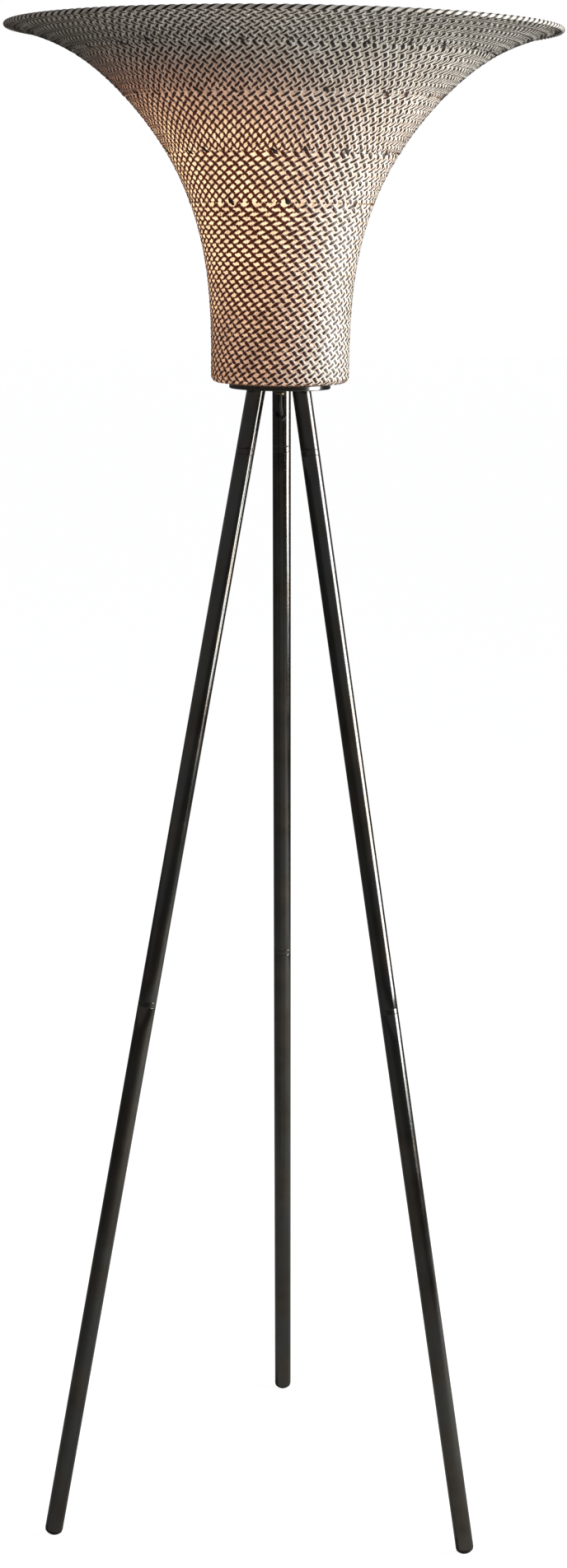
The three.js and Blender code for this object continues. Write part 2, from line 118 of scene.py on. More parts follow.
def node(tree, kind, sockets=None, **options):
    """Makes one node, sets its options and feeds it."""
    made = tree.nodes.new(kind)
    for option, value in options.items():
        setattr(made, option, value)
    wire(tree, made, sockets or {})
    return made


def sums(tree, operation, first, second=0.0):
    """One Math node on two values or sockets, and its answer."""
    return node(tree, "ShaderNodeMath", {0: first, 1: second}, operation=operation).outputs[0]


def new_group(name, inputs, outputs):
    """An empty shader group with the named inputs (type and value) and outputs (type)."""
    group = bpy.data.node_groups.new(name, "ShaderNodeTree")
    for title, (kind, value) in inputs.items():
        socket = group.interface.new_socket(title, in_out="INPUT", socket_type="NodeSocket" + kind)
        socket.default_value = value
    for title, kind in outputs.items():
        group.interface.new_socket(title, in_out="OUTPUT", socket_type="NodeSocket" + kind)
    return group, node(group, "NodeGroupInput").outputs, node(group, "NodeGroupOutput").inputs


def place_group(tree, group, sockets):
    """Puts a group into a material with its own values and gives its outputs."""
    made = tree.nodes.new("ShaderNodeGroup")
    made.node_tree = group
    wire(tree, made, sockets)
    return made.outputs


def new_material(name):
    """An empty node material with its Principled shader, and its tree."""
    material = bpy.data.materials.new(name)
    material.use_nodes = True
    tree = material.node_tree
    return material, tree, tree.nodes["Principled BSDF"]


# %% [markdown]
# ## Shared effects
#
# Real surfaces are never one colour. The first group lays a cloudy pattern, and a fine speck on
# top of it, between two colours and two roughnesses, and gives a height for a Bump node. Every
# material uses it with its own scale. The second group is painted light: it says how strongly the
# lamp inside would light the weave at a given height, growing from the base to the bulb and fading
# under the wide lip. This painted glow is set weaker on the side that the tall studio lamp stands
# on, where that lamp's light drowns it.

# %% shared groups


def make_mottle():
    """Cloudy and fine noise mixed between two colours, two roughnesses and a height."""
    group, given, out = new_group(
        "mottle",
        {
            "Scale": ("Float", 20.0),
            "Fine Scale": ("Float", 400.0),
            "Stretch": ("Vector", (1.0, 1.0, 1.0)),
            "Dark": ("Color", (0.1, 0.1, 0.1, 1)),
            "Light": ("Color", (0.2, 0.2, 0.2, 1)),
            "Smooth": ("Float", 0.3),
            "Rough": ("Float", 0.5),
        },
        {"Colour": "Color", "Roughness": "Float", "Height": "Float"},
    )
    place = node(group, "ShaderNodeTexCoord").outputs["Object"]
    stretched = node(
        group, "ShaderNodeVectorMath", {0: place, 1: given["Stretch"]}, operation="MULTIPLY"
    ).outputs[0]
    cloud = node(
        group, "ShaderNodeTexNoise", {"Vector": stretched, "Scale": given["Scale"], "Detail": 5.0}
    ).outputs["Fac"]
    speck = node(
        group, "ShaderNodeTexNoise", {"Vector": stretched, "Scale": given["Fine Scale"]}
    ).outputs["Fac"]
    spread = node(
        group, "ShaderNodeMapRange", {"Value": cloud, "From Min": 0.32, "From Max": 0.68}
    ).outputs[0]
    mostly_cloud = sums(group, "MULTIPLY", spread, 0.75)
    some_speck = sums(group, "MULTIPLY", speck, 0.25)
    both = sums(group, "ADD", mostly_cloud, some_speck)
    colour = node(
        group,
        "ShaderNodeMix",
        {"Factor": both, 6: given["Dark"], 7: given["Light"]},
        data_type="RGBA",
    ).outputs[2]
    rough = node(
        group, "ShaderNodeMapRange", {"Value": both, "To Min": given["Smooth"], "To Max": given["Rough"]}
    ).outputs[0]
    group.links.new(colour, out["Colour"])
    group.links.new(rough, out["Roughness"])
    group.links.new(sums(group, "ADD", speck, sums(group, "MULTIPLY", cloud, 0.5)), out["Height"])
    return group


base_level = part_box("woven_shade")[0].z
bulb_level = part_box("bulb_glass")[1].z
rim_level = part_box("rim_binding")[1].z
base_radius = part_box("base_disc")[1].x


def make_inner_light():
    """About 0 to 1: the painted glow of the bulb's light at this height, times its fading to one side,
    in patches.
    """
    group, given, out = new_group("inner_light", {"Unevenness": ("Float", 0.2)}, {"Glow": "Float"})
    place = node(group, "ShaderNodeTexCoord").outputs["Object"]
    height = node(group, "ShaderNodeSeparateXYZ", {0: place}).outputs["Z"]
    growing = node(
        group,
        "ShaderNodeMapRange",
        {
            "Value": height,
            "From Min": base_level - 0.02,
            "From Max": bulb_level - 0.03,
            "To Min": 0.50,
            "To Max": 1.0,
        },
        interpolation_type="SMOOTHSTEP",
    ).outputs[0]
    fading = node(
        group,
        "ShaderNodeMapRange",
        {
            "Value": height,
            "From Min": bulb_level + 0.035,
            "From Max": rim_level - 0.022,
            "To Min": 1.0,
            "To Max": 0.02,
        },
        interpolation_type="SMOOTHSTEP",
    ).outputs[0]
    sideways = node(group, "ShaderNodeSeparateXYZ", {0: place}).outputs["X"]
    # Painted glow: set weaker towards the side of the tall studio lamp, where its light drowns the glow.
    washed = node(
        group,
        "ShaderNodeMapRange",
        {
            "Value": sideways,
            "From Min": -base_radius * 0.3,
            "From Max": base_radius * 1.1,
            "To Min": 1.0,
            "To Max": 0.40,
        },
        interpolation_type="SMOOTHSTEP",
    ).outputs[0]
    patches = node(group, "ShaderNodeTexNoise", {"Vector": place, "Scale": 45.0}).outputs["Fac"]
    uneven = sums(group, "MULTIPLY", sums(group, "SUBTRACT", patches, 0.5), given["Unevenness"])
    steady = sums(group, "MULTIPLY", sums(group, "MULTIPLY", growing, fading), washed)
    group.links.new(sums(group, "MULTIPLY", steady, sums(group, "ADD", uneven, 1.0)), out["Glow"])
    return group


mottle = make_mottle()
inner_light = make_inner_light()
print("shared groups:", mottle.name, inner_light.name)

# %% [markdown]
# ## Plain finishes
#
# Most parts need the same things: two close colours, a range of roughness, a metal or plastic
# character and a shallow bump. One function does that, and each finish is one call with the values
# that make it itself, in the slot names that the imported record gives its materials.

# %% plain finishes


def finish(name, dark, light, rough, scale, bump, stretch=(1, 1, 1), fine=400.0, **shader_values):
    """A mottled finish: colours and roughness from the mottle group, bump from its height."""
    material, tree, shader = new_material(name)
    found = place_group(
        tree,
        mottle,
        {
            "Scale": scale,
            "Fine Scale": fine,
            "Stretch": stretch,
            "Dark": (*dark, 1),
            "Light": (*light, 1),
            "Smooth": rough[0],
            "Rough": rough[1],
        },
    )
    relief = node(
        tree,
        "ShaderNodeBump",
        {"Strength": bump, "Distance": 0.0005, "Height": found["Height"]},
    )
    wire(tree, shader, {"Base Color": found["Colour"], "Roughness": found["Roughness"]})
    wire(tree, shader, {"Normal": relief.outputs[0]})
    wire(tree, shader, {key.replace("_", " "): value for key, value in shader_values.items()})
    return material


finishes = {
    "zinc_plated": finish(
        "zinc_plated", (0.42, 0.42, 0.40), (0.62, 0.62, 0.60), (0.25, 0.5), 90, 0.3, Metallic=1.0
    ),
    "brass": finish(
        "brass", (0.50, 0.32, 0.11), (0.74, 0.52, 0.22), (0.18, 0.42), 60, 0.2, Metallic=1.0
    ),
    "black_rubber": finish(
        "black_rubber", (0.008, 0.008, 0.008), (0.020, 0.019, 0.018), (0.5, 0.75), 70, 0.5
    ),
    "brown_phenolic": finish(
        "brown_phenolic", (0.020, 0.011, 0.007), (0.042, 0.024, 0.014), (0.22, 0.4), 50, 0.15
    ),
    "dark_binding": finish(
        "dark_binding", (0.012, 0.009, 0.008), (0.035, 0.027, 0.022), (0.3, 0.5), 80, 0.4
    ),
    "black_wire": finish(
        "black_wire", (0.012, 0.012, 0.012), (0.032, 0.030, 0.028), (0.35, 0.6), 80, 0.3,
        Metallic=0.6,
    ),
    "clear_glass": finish(
        "clear_glass", (0.88, 0.90, 0.90), (0.96, 0.97, 0.97), (0.02, 0.08), 40, 0.05,
        Transmission_Weight=0.9,
    ),
    "filament_wire": finish(
        "filament_wire", (0.30, 0.29, 0.27), (0.48, 0.46, 0.42), (0.3, 0.5), 300, 0.1,
        Metallic=1.0,
    ),
}
print("plain finishes:", ", ".join(finishes))

# %% [markdown]
# ## The blackened bronze of the stand
#
# The tubes are steel with a dark bronze plating under lacquer: nearly black, with brown, olive and
# violet clouds, long faint polishing lines, and a hard narrow reflection. It is a metal with a very
# dark colour; the clouds are two mottles laid over each other, and the lacquer is a light coat.

# %% bronze


def make_bronze():
    """Two cloud patterns of near-black metal colours, one stretched upright, clouded roughness, and a
    lacquer coat.
    """
    material, tree, shader = new_material("bronze_finish")
    brown = place_group(
        tree,
        mottle,
        {
            "Scale": 22.0,
            "Fine Scale": 420.0,
            "Dark": (0.085, 0.073, 0.060, 1),
            "Light": (0.165, 0.142, 0.115, 1),
            "Smooth": 0.15,
            "Rough": 0.21,
        },
    )
    violet = place_group(
        tree,
        mottle,
        {
            "Scale": 9.0,
            "Fine Scale": 260.0,
            "Stretch": (1.0, 1.0, 0.35),
            "Dark": (0.088, 0.084, 0.096, 1),
            "Light": (0.140, 0.146, 0.124, 1),
        },
    )
    where = node(tree, "ShaderNodeTexCoord").outputs["Object"]
    islands = node(tree, "ShaderNodeTexNoise", {"Vector": where, "Scale": 14.0, "Detail": 3.0})
    share = node(
        tree,
        "ShaderNodeMapRange",
        {"Value": islands.outputs["Fac"], "From Min": 0.4, "From Max": 0.6},
    ).outputs[0]
    colour = node(
        tree,
        "ShaderNodeMix",
        {"Factor": share, 6: brown["Colour"], 7: violet["Colour"]},
        data_type="RGBA",
    ).outputs[2]
    relief = node(
        tree, "ShaderNodeBump", {"Strength": 0.012, "Distance": 0.0001, "Height": brown["Height"]}
    )
    wire(tree, shader, {"Base Color": colour, "Roughness": brown["Roughness"], "Metallic": 1.0})
    wire(tree, shader, {"Normal": relief.outputs[0], "Coat Weight": 0.35, "Coat Roughness": 0.08})
    return material


finishes["bronze_finish"] = make_bronze()
print("bronze made")

# %% [markdown]
# ## The strand: pale tape and dark rib
#
# Each strand is a flat cream tape, thin enough to let the light through, with a dark rib down its
# middle. Where two strands cross, the rib behind blocks the light, so a lit tape is bright between
# crossings and brown over them: both the glow and this brown bar are painted into the tape's colours.
# The tape carries a map that counts crossings along it, so that this painted shadow can be put
# exactly where the other strand passes.

# %% strand finishes


def make_tape():
    """Cream fibre with a painted glow by height; a sine along the strand paints a brown shadow at every
    crossing.
    """
    material, tree, shader = new_material("woven_strand")
    body = place_group(
        tree,
        mottle,
        {
            "Scale": 55.0,
            "Fine Scale": 900.0,
            "Dark": (0.60, 0.55, 0.45, 1),
            "Light": (0.86, 0.83, 0.74, 1),
            "Smooth": 0.32,
            "Rough": 0.55,
        },
    )
    glow = place_group(tree, inner_light, {"Unevenness": 0.9})["Glow"]
    along = node(
        tree, "ShaderNodeSeparateXYZ", {0: node(tree, "ShaderNodeTexCoord").outputs["UV"]}
    ).outputs["X"]
    wave = sums(tree, "ABSOLUTE", sums(tree, "SINE", sums(tree, "MULTIPLY", along, math.pi)))
    cell = node(
        tree,
        "ShaderNodeMapRange",
        {"Value": wave, "From Min": 0.30, "From Max": 0.78},
        interpolation_type="SMOOTHSTEP",
    ).outputs[0]
    # Painted glow: the tape shines by height, most in the cells between crossings, in warm colours that
    # deepen to red where it is dim.
    lit = sums(tree, "MULTIPLY", sums(tree, "ADD", sums(tree, "MULTIPLY", cell, 0.90), 0.10), glow)
    warm = node(
        tree,
        "ShaderNodeMix",
        {"Factor": lit, 6: (0.72, 0.13, 0.015, 1), 7: (1.0, 0.71, 0.41, 1)},
        data_type="RGBA",
    ).outputs[2]
    light = node(
        tree, "ShaderNodeVectorMath", {0: warm, "Scale": lit}, operation="SCALE"
    ).outputs[0]
    relief = node(
        tree, "ShaderNodeBump", {"Strength": 0.35, "Distance": 0.0003, "Height": body["Height"]}
    )
    # Painted shadow: over each crossing, where the rib behind blocks the bulb's light, the tape's colour
    # turns brown, most where the painted glow is strong.
    between = sums(tree, "SUBTRACT", 1.0, cell)
    shade_share = sums(tree, "MULTIPLY", between, sums(tree, "POWER", glow, 2.5))
    shaded = node(
        tree,
        "ShaderNodeMix",
        {
            "Factor": shade_share,
            6: body["Colour"],
            7: (0.13, 0.045, 0.018, 1),
        },
        data_type="RGBA",
    ).outputs[2]
    wire(tree, shader, {"Base Color": shaded, "Roughness": body["Roughness"]})
    wire(tree, shader, {"Normal": relief.outputs[0], "Emission Color": light})
    wire(tree, shader, {"Emission Strength": 1.0})
    return material


def make_rib():
    """Brown-black glossy cane, with a faint red painted glow where the lamp shines round it."""
    material, tree, shader = new_material("strand_rib")
    body = place_group(
        tree,
        mottle,
        {
            "Scale": 60.0,
            "Fine Scale": 700.0,
            "Dark": (0.006, 0.004, 0.004, 1),
            "Light": (0.022, 0.014, 0.012, 1),
            "Smooth": 0.22,
            "Rough": 0.48,
        },
    )
    glow = place_group(tree, inner_light, {"Unevenness": 0.8})["Glow"]
    # Painted glow: a faint red shine that follows the inner light's height.
    light = node(
        tree, "ShaderNodeVectorMath", {0: (0.060, 0.009, 0.002), "Scale": glow}, operation="SCALE"
    ).outputs[0]
    relief = node(
        tree, "ShaderNodeBump", {"Strength": 0.3, "Distance": 0.0003, "Height": body["Height"]}
    )
    wire(tree, shader, {"Base Color": body["Colour"], "Roughness": body["Roughness"]})
    wire(tree, shader, {"Normal": relief.outputs[0], "Emission Color": light})
    wire(tree, shader, {"Emission Strength": 1.0})
    return material


def make_frosted_glass():
    """The lit bulb: pale frosted glass that shines evenly, in two close warm colours."""
    material, tree, shader = new_material("frosted_glass")
    body = place_group(
        tree,
        mottle,
        {
            "Scale": 70.0,
            "Fine Scale": 900.0,
            "Dark": (0.86, 0.84, 0.80, 1),
            "Light": (0.95, 0.94, 0.92, 1),
            "Smooth": 0.3,
            "Rough": 0.45,
        },
    )
    warm = node(
        tree,
        "ShaderNodeMix",
        {"Factor": body["Height"], 6: (1.0, 0.55, 0.22, 1), 7: (1.0, 0.66, 0.34, 1)},
        data_type="RGBA",
    ).outputs[2]
    wire(tree, shader, {"Base Color": body["Colour"], "Roughness": body["Roughness"]})
    wire(tree, shader, {"Emission Color": warm, "Emission Strength": 1.3})
    return material


finishes["woven_strand"] = make_tape()
finishes["strand_rib"] = make_rib()
finishes["frosted_glass"] = make_frosted_glass()
print("strand and glass finishes made")

# %% [markdown]
# ## Giving every imported part its finish
#
# The imported record names a material slot for each part, and the finishes above carry the same
# names. Parts that are remade below are hidden later, but they get their finish here as well. The
# nut and washer under the plate can be seen there, and are given the plate's dark bronze finish in
# place of their own.

# %% finishes on imported parts
packed_slots = {}
for part_name, part_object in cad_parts.items():
    for place_in_list, slot in enumerate(part_object.material_slots):
        slot_name = slot.material.name.split(".")[0] if slot.material else ""
        packed_slots[part_name] = slot_name
        if slot_name in finishes:
            part_object.material_slots[place_in_list].material = finishes[slot_name]
for nut_name in ("plate_nut", "plate_washer"):
    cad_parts[nut_name].material_slots[0].material = finishes["bronze_finish"]
print("slots in the packed model:", sorted(set(packed_slots.values())))

# %% [markdown]
# ## Meshes from whole arrays
#
# A strand, a tube and a turned plate are all the same thing to a mesh: a row of sections with the
# same number of corners. The helper below takes an array of points [strand, step, corner], joins
# neighbouring sections with quads, closes the ends with one face each, and turns everything inside
# out if the enclosed volume comes out negative.

# %% mesh helper


def section_mesh(name, points, finish_name, body, smooth=True, looped=False, crossings=None):
    """Quads between sections of points[strand, step, corner, xyz]; ends capped unless looped."""
    strands, steps, corners = points.shape[:3]
    number = np.arange(strands * steps * corners).reshape(strands, steps, corners)
    ahead = np.roll(number, -1, 1) if looped else number[:, 1:]
    here = number if looped else number[:, :-1]
    quads = np.stack([here, np.roll(here, -1, 2), np.roll(ahead, -1, 2), ahead], -1).reshape(-1, 4)
    flat = points.reshape(-1, 3)
    a, b, c, d = (flat[quads[:, k]] for k in range(4))
    volume = np.einsum("ij,ij->i", a, np.cross(b, c)) + np.einsum("ij,ij->i", a, np.cross(c, d))
    caps = np.concatenate([number[:, 0, ::-1], number[:, -1]])
    if looped:
        caps = caps[:0]
    if volume.sum() < 0:
        quads, caps = quads[:, ::-1], caps[:, ::-1]
    corner_list = np.concatenate([quads.ravel(), caps.ravel()])
    starts = np.concatenate(
        [np.arange(len(quads)) * 4, len(quads) * 4 + np.arange(len(caps)) * corners]
    )
    mesh = bpy.data.meshes.new(name)
    mesh.vertices.add(len(flat))
    mesh.vertices.foreach_set("co", flat.astype(np.float32).ravel())
    mesh.loops.add(len(corner_list))
    mesh.loops.foreach_set("vertex_index", corner_list.astype(np.int32))
    mesh.polygons.add(len(starts))
    mesh.polygons.foreach_set("loop_start", starts.astype(np.int32))
    shading = np.concatenate([np.full(len(quads), smooth), np.zeros(len(caps), bool)])
    mesh.polygons.foreach_set("use_smooth", shading)
    if crossings is not None:
        chart = mesh.uv_layers.new(name="strand")
        across = np.broadcast_to(np.arange(corners) / corners, number.shape)
        along = np.broadcast_to(crossings[None, :, None], number.shape)
        pairs = np.stack([along.ravel()[corner_list], across.ravel()[corner_list]], -1)
        chart.data.foreach_set("uv", pairs.astype(np.float32).ravel())
    mesh.update(calc_edges=True)
    piece = bpy.data.objects.new(name, mesh)
    bpy.context.scene.collection.objects.link(piece)
    mesh.materials.append(finishes[finish_name])
    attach(piece, body)
    return piece


# %% [markdown]
# ## The line of the shade
#
# Cut the shade through its axis and it is one line: in along the flat base, round a small corner,
# up a nearly straight neck, and out in a widening curve to the lip. Height above the base sets the
# radius: the neck, plus a cube that opens the trumpet, plus a very high power that acts only at
# the lip. The line is measured along its length, because weaving follows length and not height.

# %% shade line
skin_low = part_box("woven_shade")[0]
ring_low, ring_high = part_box("rim_binding")
ring_wire = (ring_high.z - ring_low.z) / 2
ring_radius = ring_high.x - ring_wire
ring_level = ring_high.z - ring_wire
weave_half = 0.0015
line_base = skin_low.z + weave_half
neck_share = 0.25235
flare_share = 0.60658
neck_radius = ring_radius * neck_share
flare_gain = ring_radius * flare_share
lip_gain = ring_radius - neck_radius - flare_gain
corner_radius = 0.0075
flange_edge = 0.050
line_step = 0.0002


def trumpet_radius(height):
    """Neck radius, plus the flare by the cube of the height's share, plus the lip by its 26th power."""
    share = (height - line_base) / (ring_level - line_base)
    return neck_radius + flare_gain * share**3 + lip_gain * share**26


def shade_line():
    """Radius and height every fifth of a millimetre along base, corner and flare, and its length."""
    turn = np.linspace(-np.pi / 2, 0, 40)
    corner_centre = neck_radius - corner_radius
    base = np.linspace(flange_edge, corner_centre, 60)[:-1]
    heights = np.linspace(line_base + corner_radius, ring_level, 3000)[1:]
    radius = np.concatenate(
        [base, corner_centre + corner_radius * np.cos(turn), trumpet_radius(heights)]
    )
    height = np.concatenate(
        [
            np.full(len(base), line_base),
            line_base + corner_radius + corner_radius * np.sin(turn),
            heights,
        ]
    )
    length = np.concatenate([[0], np.cumsum(np.hypot(np.diff(radius), np.diff(height)))])
    even = np.arange(0, length[-1], line_step)
    return np.interp(even, length, radius), np.interp(even, length, height), even


line_radius, line_height, line_length = shade_line()
rise = np.gradient(line_height, line_length)
spread = np.gradient(line_radius, line_length)
print("the shade's line is", round(line_length[-1] * 1000), "mm long")

# %% [markdown]
# ## Weaving
#
# One family of strands climbs to the right and the other falls to the right. A weaver keeps the
# rows of each family nearly the same distance apart up the shade, a little wider as it opens, so
# the rows passed so far are simply counted along the line. One row is also one strand's spacing
# round the shade, which gives each strand's turn. The two counts together count the crossings,
# and a cosine of that lifts one family over the other and back. As the trumpet widens the weaver
# adds strands: it is woven in five bands, parted by the wire hoops, each with more than the last.

# %% weave counts
reference_radius = 0.09
rising_rows = 0.0080 + 0.0225 * (line_radius - reference_radius)
falling_rows = 0.0146 + 0.0430 * (line_radius - reference_radius)
step_length = np.gradient(line_length)
rising_passed = np.cumsum(step_length / rising_rows)
falling_passed = np.cumsum(step_length / falling_rows)
crossings_passed = rising_passed + falling_passed
neck_spacing = 0.0126
trumpet_spacing = 0.0106
bands_at_neck = 2
weave_lift = 0.00072
steps_per_crossing = 4


def hoop_level(node_name):
    """The height of one of the wire hoops, from its box."""
    low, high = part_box(node_name)
    return (low.z + high.z) / 2


hoop_names = sorted(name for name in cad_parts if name.startswith("frame_hoop"))
band_edges = [0.0]
band_edges += [float(np.interp(hoop_level(n), line_height, line_length)) for n in hoop_names]
band_edges += [float(line_length[-1])]
band_counts = []
for band, (start, end) in enumerate(zip(band_edges[:-1], band_edges[1:])):
    middle = float(np.interp((start + end) / 2, line_length, line_radius))
    spacing = neck_spacing if band < bands_at_neck else trumpet_spacing
    band_counts.append(2 * round(math.pi * middle / spacing))
print("strands of each family in the bands:", band_counts)

# %% one strand's section


def lens_section(width, thickness):
    """Four corners of a flat tape: its two edges, and a low crown on each face."""
    none = np.zeros_like(width)
    across = np.stack([-width / 2, none, width / 2, none], -1)
    out = np.stack([none, none + thickness, none, none - thickness], -1)
    return across, out


def rib_section(width, thickness):
    """Six corners of a flattened round rib, wider than it is deep."""
    turn = np.arange(6) * np.pi / 3
    across = width[..., None] / 2 * np.cos(turn)
    out = thickness * np.sin(turn) * 1.12 + np.zeros_like(across)
    return across, out


def lay_on_shade(at, angle, lift, slope, side, across, proud):
    """Sections set square to strands that lie on the shade.

    at is the way along the shade's line and angle the turn round the axis, as [strand, step]. The
    outward direction is the line's own direction turned square; a section's corners go out along
    it, and across along the direction square to both it and the strand.
    """
    radius, height = np.interp(at, line_length, line_radius), np.interp(at, line_length, line_height)
    up, out = np.interp(at, line_length, rise), np.interp(at, line_length, spread)
    size = np.hypot(up, out)
    up, out = (up / size)[..., None], (out / size)[..., None]
    none = np.zeros_like(angle)
    spoke = np.stack([np.cos(angle), np.sin(angle), none], -1)
    sideways = np.stack([-np.sin(angle), np.cos(angle), none], -1)
    upright = np.array([0.0, 0.0, 1.0])
    uphill = spoke * out + upright * up
    outward = spoke * up - upright * out
    square = np.cos(slope)[..., None] * uphill - side * np.sin(slope)[..., None] * sideways
    centre = spoke * radius[..., None] + upright * height[..., None] + outward * lift[..., None]
    points = centre[:, :, None] + square[:, :, None] * across[..., None]
    return points + outward[:, :, None] * proud[..., None]


sink_past, sink_length, sink_depth = 0.004, 0.009, 0.0016
laid_length, laid_lift, laid_apart = 0.005, 0.0004, 0.0002
turn_shake, lift_shake = 0.00025, 0.00006


def weave_family(band, count, start, end, tuck, rising, shape):
    """All strands of one family in a band, and the crossings passed at each step.

    The turn is the rows passed times one strand's spacing; the lift is a cosine of pi times the
    crossings passed. At a band's top the strand sinks behind the weave above it, and at its foot
    it is laid over the ends of the band below.
    """
    first = np.interp(start, line_length, crossings_passed)
    last = np.interp(min(end + tuck, line_length[-1]), line_length, crossings_passed)
    steps = np.arange(np.ceil(first * steps_per_crossing), np.floor(last * steps_per_crossing) + 1)
    crossing = steps / steps_per_crossing
    at = np.interp(crossing, crossings_passed, line_length)
    passed = rising_passed if rising else -falling_passed
    rows = np.interp(at, line_length, rising_rows if rising else falling_rows)
    radius = np.interp(at, line_length, line_radius)
    spacing = 2 * np.pi * radius / count
    slope = np.arctan(rows / spacing)
    sunk = 1 - np.clip((end + sink_past - at) / sink_length, 0, 1)
    laid = 1 - np.clip((at - start) / laid_length, 0, 1) if start else 0 * at
    side = 1 if rising else -1
    lift = side * weave_lift * np.cos(np.pi * crossing) * (1 - sunk) * (1 - laid)
    lift = lift - sink_depth * sunk**2 + (laid_lift + laid_apart * side) * laid**2
    across, proud = shape(spacing * np.sin(slope), crossing, rising, band)
    chance = np.random.default_rng(100 + 2 * band + rising)
    shake = chance.normal(0, turn_shake, (count, 1)) / radius
    rows_turned = np.interp(at, line_length, passed)
    angle = 2 * np.pi / count * (np.arange(count)[:, None] + rows_turned) + shake
    lift = lift + chance.normal(0, lift_shake, (count, len(at)))
    at, slope = np.broadcast_to(at, angle.shape), np.broadcast_to(slope, angle.shape)
    across = np.broadcast_to(across, (count,) + across.shape)
    proud = np.broadcast_to(proud, (count,) + proud.shape)
    return lay_on_shade(at, angle, lift, slope, side, across, proud), crossing


# %% tapes and ribs
tape_thickness = 0.00034
rising_rib_thickness = 0.00052
falling_rib_thickness = 0.00050
tape_tuck = 0.0045


def tape_shape(gap, crossing, rising, band):
    """A tape nearly as wide as the room between its neighbours, the same at every crossing."""
    return lens_section(gap * (0.94 if rising else 0.84), tape_thickness)


def rib_shape(gap, crossing, rising, band):
    """A rib that swells where it lies on top and narrows where it dives under."""
    on_top = (1 + np.cos(np.pi * crossing) * (1 if rising else -1)) / 2
    if rising:
        return rib_section(gap * (0.42 - 0.02 * band) + 0.0014 * on_top, rising_rib_thickness)
    return rib_section(gap * (0.46 + 0.015 * band) + 0.0003 * on_top, falling_rib_thickness)


woven_pieces = []
for band, count in enumerate(band_counts):
    start, end = band_edges[band], band_edges[band + 1]
    for rising in (True, False):
        for kind, shape, finish_name, tuck in (
            ("tape", tape_shape, "woven_strand", tape_tuck),
            ("rib", rib_shape, "strand_rib", 0.0),
        ):
            points, crossing = weave_family(band, count, start, end, tuck, rising, shape)
            title = f"{'rising' if rising else 'falling'}_{kind}_{band + 1}"
            piece = section_mesh(
                title, points, finish_name, "shade", smooth=kind == "rib",
                crossings=crossing if kind == "tape" else None,
            )
            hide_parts("woven_shade")
            woven_pieces.append(piece)
print("woven pieces:", len(woven_pieces), "faces:", sum(len(p.data.polygons) for p in woven_pieces))

# %% [markdown]
# ## Tucked ends
#
# Where new strands join in, a few of the old ribs end on the outside, and their dark ends show as
# short tabs in an uneven row. Each tab is a short flat strip that comes up from between the
# strands and lies down over them.

# %% tucked ends
tab_length = 0.009
tab_width = 0.0042
tab_thickness = 0.00030
tab_root = 0.4


def tucked_ends(number, level, count):
    """Short dark strips spread unevenly round one band's edge, rising and settling by a sine."""
    chance = np.random.default_rng(300 + number)
    share = np.linspace(0, 1, 7)
    angle = 2 * np.pi * (np.arange(count) + chance.uniform(-0.3, 0.3, count)) / count
    at = level + chance.normal(0, 0.0012, count)[:, None] + (share - tab_root) * tab_length
    radius = float(np.interp(level, line_length, line_radius))
    slope = np.full(at.shape, 1.0) + chance.normal(0, 0.12, count)[:, None]
    angle = angle[:, None] - (share - tab_root) * tab_length / np.tan(slope) / radius
    lift = -0.0004 + 0.0017 * np.sin(np.pi * share * 0.75) * np.ones_like(at)
    width = tab_width * (0.55 + 0.45 * np.sin(np.pi * share))
    across, proud = lens_section(width, tab_thickness)
    across = np.broadcast_to(across, (count,) + across.shape)
    proud = np.broadcast_to(proud, (count,) + proud.shape)
    points = lay_on_shade(at, angle, lift, slope, -1, across, proud)
    piece = section_mesh(
        f"tucked_ends_{number}", points, "dark_binding", "shade", smooth=False
    )
    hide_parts("woven_shade")


for number, level in enumerate(band_edges[1:-1], start=1):
    tucked_ends(number, level, band_counts[number] // 6)
print("rows of tucked ends:", len(band_edges) - 2)

# %% [markdown]
# ## The lashed rim
#
# The edge is bound by winding two strands round a wire ring in a long slant. The pale winding is
# a ring whose thickness swells between the turns; the dark ribs are two long spirals laid on it.

# %% rim
rim_turns = band_counts[-1] // 2
winding_radius, winding_swell = 0.00205, 0.00045
rib_path_radius = 0.0024
rim_rib_radius = 0.00245
rim_rib_width, rim_rib_thickness = 0.0027, 0.00035


def ring_points(axis_radius, level, round_axis, round_wire, wire_radius):
    """A point at each angle round the lamp's axis and round a ring's wire."""
    radius = axis_radius + wire_radius * np.cos(round_wire)
    return np.stack(
        [
            radius * np.cos(round_axis),
            radius * np.sin(round_axis),
            level + wire_radius * np.sin(round_wire),
        ],
        -1,
    )


def ring_angles(round_axis_steps, round_wire_steps):
    """Evenly spaced angles round the axis and round the wire, as [step, corner]."""
    return np.meshgrid(
        2 * np.pi * np.arange(round_axis_steps) / round_axis_steps,
        2 * np.pi * np.arange(round_wire_steps) / round_wire_steps,
        indexing="ij",
    )


def rim_winding():
    """A closed ring; its thickness follows a rounded saw of the slanting turns."""
    axis_turn, wire_turn = ring_angles(rim_turns * 16, 16)
    slant = rim_turns * axis_turn - wire_turn
    swell = winding_radius + winding_swell * np.abs(np.cos(slant))
    points = ring_points(ring_radius, ring_level, axis_turn, wire_turn, swell)[None]
    # The strand finish paints its glow and its crossing shadow along this count of turns; both are faint
    # this high.
    return section_mesh(
        "rim_winding", points, "woven_strand", "shade", looped=True, crossings=slant[:, 0] / np.pi
    )


